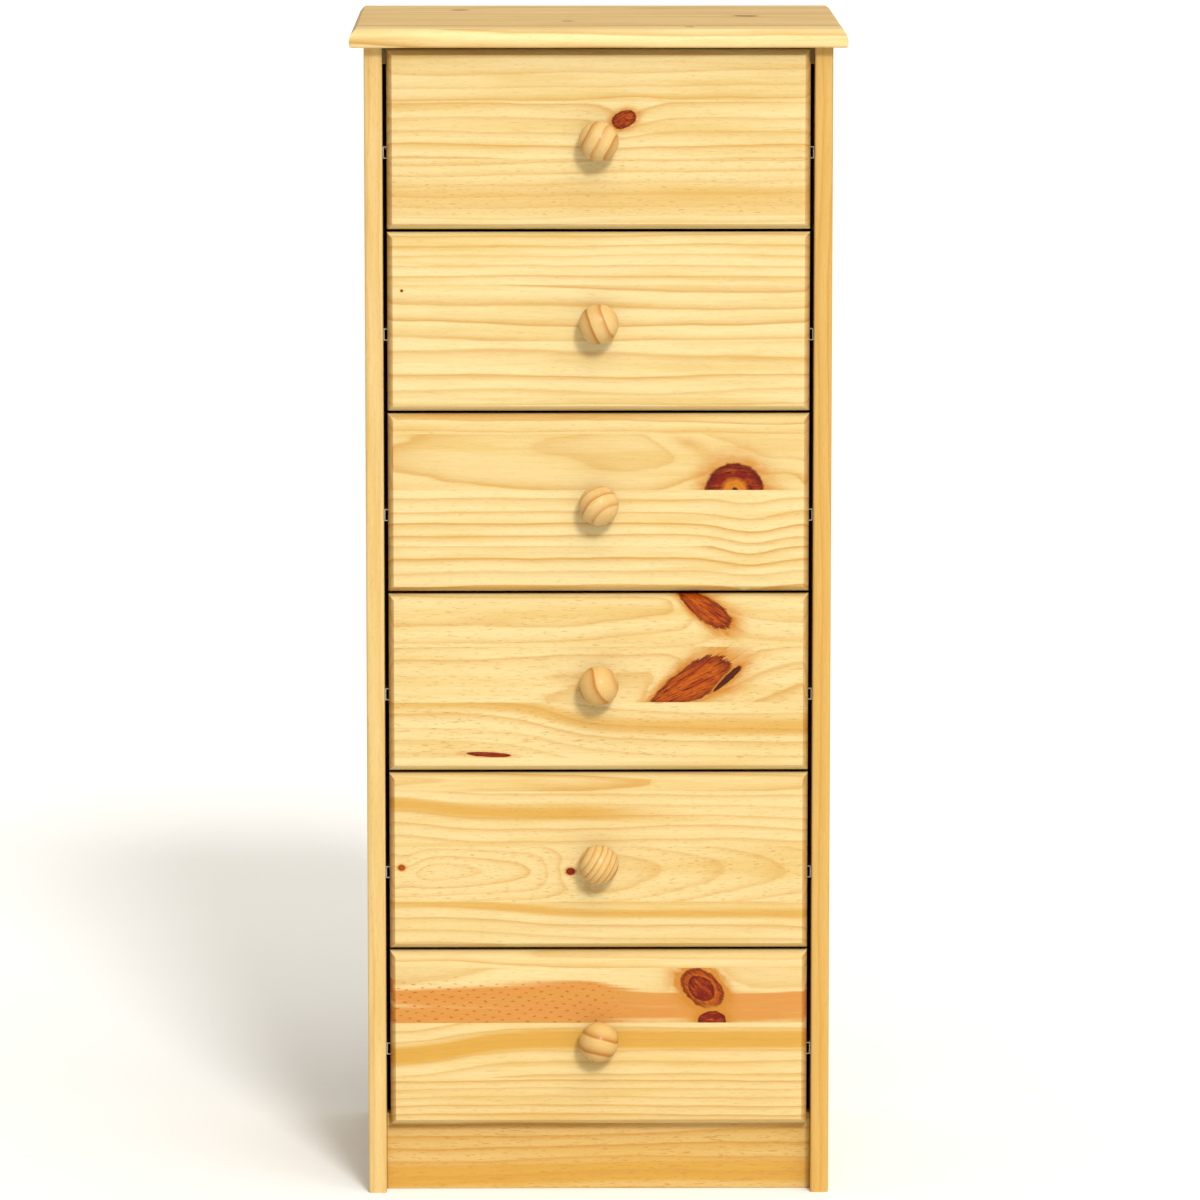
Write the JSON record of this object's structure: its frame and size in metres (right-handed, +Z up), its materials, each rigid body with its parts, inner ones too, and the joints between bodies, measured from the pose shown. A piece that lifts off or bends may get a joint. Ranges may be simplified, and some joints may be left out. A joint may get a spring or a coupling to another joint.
{
  "type": "tall chest of drawers",
  "caption": "Tall narrow chest of drawers in knotty pine: overhanging top, bevelled drawer fronts with round wooden knobs, steel side runners and a recessed plinth.",
  "frame": {"origin": "on the floor, at the centre of the bounding box, knobs included", "axes": "+Z up, the drawers open towards -Y, +X to the right of someone facing the chest"},
  "size_m": [0.49, 0.412, 1.17],
  "materials": {
    "pine": "solid knotty pine, edge-glued, satin clear lacquer",
    "pine_turned": "turned pine, satin clear lacquer",
    "hardboard": "brown hardboard, smooth face",
    "beech": "raw fluted dowel",
    "zinc_steel": "zinc-plated rolled steel",
    "screw_steel": "bright zinc-plated steel"
  },
  "bodies": {
    "carcass": {"top_panel": "pine", "side_panel_left": "pine", "side_panel_right": "pine", "back_panel": "hardboard", "plinth_front": "pine", "plinth_rear": "pine", "rail_top_front": "pine", "rail_top_rear": "pine", "drawer_runners": "zinc_steel", "carcass_dowels": "beech", "carcass_screws": "screw_steel", "back_nails": "screw_steel"},
    "drawer_1": {"drawer_1_front": "pine", "drawer_1_side_left": "pine", "drawer_1_side_right": "pine", "drawer_1_back": "pine", "drawer_1_bottom": "hardboard", "drawer_1_knob": "pine_turned", "drawer_1_knob_screw": "screw_steel", "drawer_1_dowels": "beech"},
    "drawer_2": {"drawer_2_front": "pine", "drawer_2_side_left": "pine", "drawer_2_side_right": "pine", "drawer_2_back": "pine", "drawer_2_bottom": "hardboard", "drawer_2_knob": "pine_turned", "drawer_2_knob_screw": "screw_steel", "drawer_2_dowels": "beech"},
    "drawer_3": {"drawer_3_front": "pine", "drawer_3_side_left": "pine", "drawer_3_side_right": "pine", "drawer_3_back": "pine", "drawer_3_bottom": "hardboard", "drawer_3_knob": "pine_turned", "drawer_3_knob_screw": "screw_steel", "drawer_3_dowels": "beech"},
    "drawer_4": {"drawer_4_front": "pine", "drawer_4_side_left": "pine", "drawer_4_side_right": "pine", "drawer_4_back": "pine", "drawer_4_bottom": "hardboard", "drawer_4_knob": "pine_turned", "drawer_4_knob_screw": "screw_steel", "drawer_4_dowels": "beech"},
    "drawer_5": {"drawer_5_front": "pine", "drawer_5_side_left": "pine", "drawer_5_side_right": "pine", "drawer_5_back": "pine", "drawer_5_bottom": "hardboard", "drawer_5_knob": "pine_turned", "drawer_5_knob_screw": "screw_steel", "drawer_5_dowels": "beech"},
    "drawer_6": {"drawer_6_front": "pine", "drawer_6_side_left": "pine", "drawer_6_side_right": "pine", "drawer_6_back": "pine", "drawer_6_bottom": "hardboard", "drawer_6_knob": "pine_turned", "drawer_6_knob_screw": "screw_steel", "drawer_6_dowels": "beech"}
  },
  "joints": [
    {"name": "drawer_1_slide", "type": "slide", "parent": "carcass", "child": "drawer_1", "axis": [0, -1, 0], "range_m": [0, 0.26]},
    {"name": "drawer_2_slide", "type": "slide", "parent": "carcass", "child": "drawer_2", "axis": [0, -1, 0], "range_m": [0, 0.26]},
    {"name": "drawer_3_slide", "type": "slide", "parent": "carcass", "child": "drawer_3", "axis": [0, -1, 0], "range_m": [0, 0.26]},
    {"name": "drawer_4_slide", "type": "slide", "parent": "carcass", "child": "drawer_4", "axis": [0, -1, 0], "range_m": [0, 0.26]},
    {"name": "drawer_5_slide", "type": "slide", "parent": "carcass", "child": "drawer_5", "axis": [0, -1, 0], "range_m": [0, 0.26]},
    {"name": "drawer_6_slide", "type": "slide", "parent": "carcass", "child": "drawer_6", "axis": [0, -1, 0], "range_m": [0, 0.26]}
  ]
}
